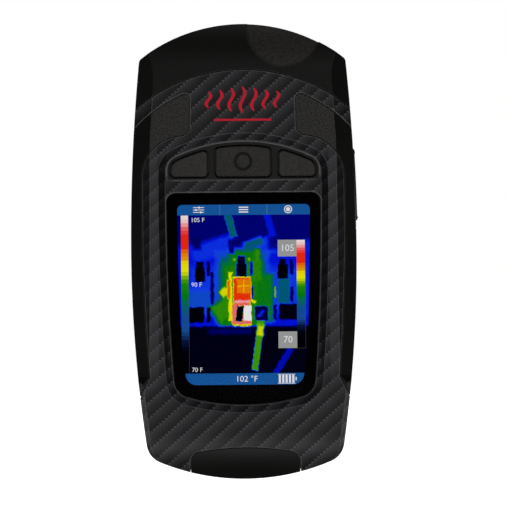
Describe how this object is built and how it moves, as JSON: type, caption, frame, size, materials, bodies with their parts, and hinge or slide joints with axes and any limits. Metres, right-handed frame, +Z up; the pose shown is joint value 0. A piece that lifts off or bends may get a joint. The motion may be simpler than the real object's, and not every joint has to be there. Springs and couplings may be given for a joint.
{
  "type": "thermal imaging camera",
  "caption": "Hand-held thermal imaging camera with a sunken screen, a three-key pad, rubber grips and bumpers, a side port door, and a lens and lamp at the rear.",
  "frame": {"origin": "centre of the body, inside the palm's grip, halfway through its depth", "axes": "+X to the right of a person who looks at the screen, +Y from the screen to the lens, +Z up along the body"},
  "size_m": [0.0626, 0.0287, 0.125],
  "materials": {
    "shell_plastic": "fine carbon-twill texture",
    "soft_rubber": "matt",
    "door_rubber": "matt",
    "seal_rubber": "smooth",
    "window_glass": "polished, black border printed on the back",
    "panel_plastic": "satin",
    "key_rubber": "matt",
    "switch_plastic": "matt",
    "lcd_glass": "lit liquid-crystal panel",
    "steel": "plain",
    "flex_film": "polyimide film",
    "board": "green solder mask",
    "chip": "moulded",
    "card": "plain",
    "battery_film": "foil pouch",
    "wire": "insulated wire",
    "lens_glass": "coated infrared glass, opaque to the eye",
    "black_metal": "black anodised",
    "lamp_glass": "clear",
    "mirror_cup": "metallised",
    "emitter": "phosphor",
    "alu": "plain",
    "brass": "knurled"
  },
  "bodies": {
    "housing": {"front_shell": "shell_plastic", "rear_shell": "shell_plastic", "top_bumper": "soft_rubber", "bottom_bumper": "soft_rubber", "grip_left": "soft_rubber", "grip_right": "soft_rubber", "display_window": "window_glass", "keypad_bezel": "panel_plastic", "rear_faceplate": "panel_plastic", "lens_retaining_ring": "black_metal", "lamp_window": "lamp_glass", "lcd_gasket": "seal_rubber", "lcd_panel": "lcd_glass", "lcd_frame": "steel", "lcd_flex": "flex_film", "tact_switches": "switch_plastic", "keypad_board": "board", "keypad_header": "switch_plastic", "main_board": "board", "board_chips": "chip", "shield_can": "steel", "usb_socket": "steel", "card_socket": "steel", "battery_pack": "battery_film", "battery_pad": "seal_rubber", "battery_socket": "switch_plastic", "battery_lead": "wire", "sensor_board": "board", "sensor_package": "chip", "sensor_flex": "flex_film", "shutter_actuator": "chip", "lens_barrel": "black_metal", "lens_front_element": "lens_glass", "lens_rear_element": "lens_glass", "lens_spacer": "black_metal", "lens_seal": "seal_rubber", "lamp_reflector": "mirror_cup", "lamp_emitter": "emitter", "lamp_heatsink": "alu", "door_pin": "steel", "case_screws": "steel", "threaded_inserts": "brass", "board_screws": "steel", "case_seal": "seal_rubber"},
    "key_left": {"key_left": "key_rubber", "switch_stem_left": "switch_plastic"},
    "key_centre": {"key_centre": "key_rubber", "switch_stem_centre": "switch_plastic"},
    "key_right": {"key_right": "key_rubber", "switch_stem_right": "switch_plastic"},
    "door": {"port_door": "door_rubber"},
    "card": {"memory_card": "card"},
    "shutter": {"shutter_flag": "steel"}
  },
  "joints": [
    {"name": "key_left_press", "type": "slide", "parent": "housing", "child": "key_left", "axis": [0, 1, 0], "range_m": [0, 0.0005], "stiffness_N_per_m": 1500, "springref_m": -0.0004},
    {"name": "key_centre_press", "type": "slide", "parent": "housing", "child": "key_centre", "axis": [0, 1, 0], "range_m": [0, 0.0005], "stiffness_N_per_m": 1500, "springref_m": -0.0004},
    {"name": "key_right_press", "type": "slide", "parent": "housing", "child": "key_right", "axis": [0, 1, 0], "range_m": [0, 0.0005], "stiffness_N_per_m": 1500, "springref_m": -0.0004},
    {"name": "door_swing", "type": "hinge", "parent": "housing", "child": "door", "pos_m": [0.0292, -0.0045, 0.0268], "axis": [0, -1, 0], "range_deg": [0, 70]},
    {"name": "card_slide", "type": "slide", "parent": "housing", "child": "card", "axis": [1, 0, 0], "range_m": [-0.0006, 0.0024]},
    {"name": "shutter_swing", "type": "hinge", "parent": "housing", "child": "shutter", "pos_m": [0.0024, 0.0017, 0.0395], "axis": [0, 1, 0], "range_deg": [0, 56], "stiffness_Nm_per_rad": 0.0002, "springref_deg": -11.46}
  ]
}
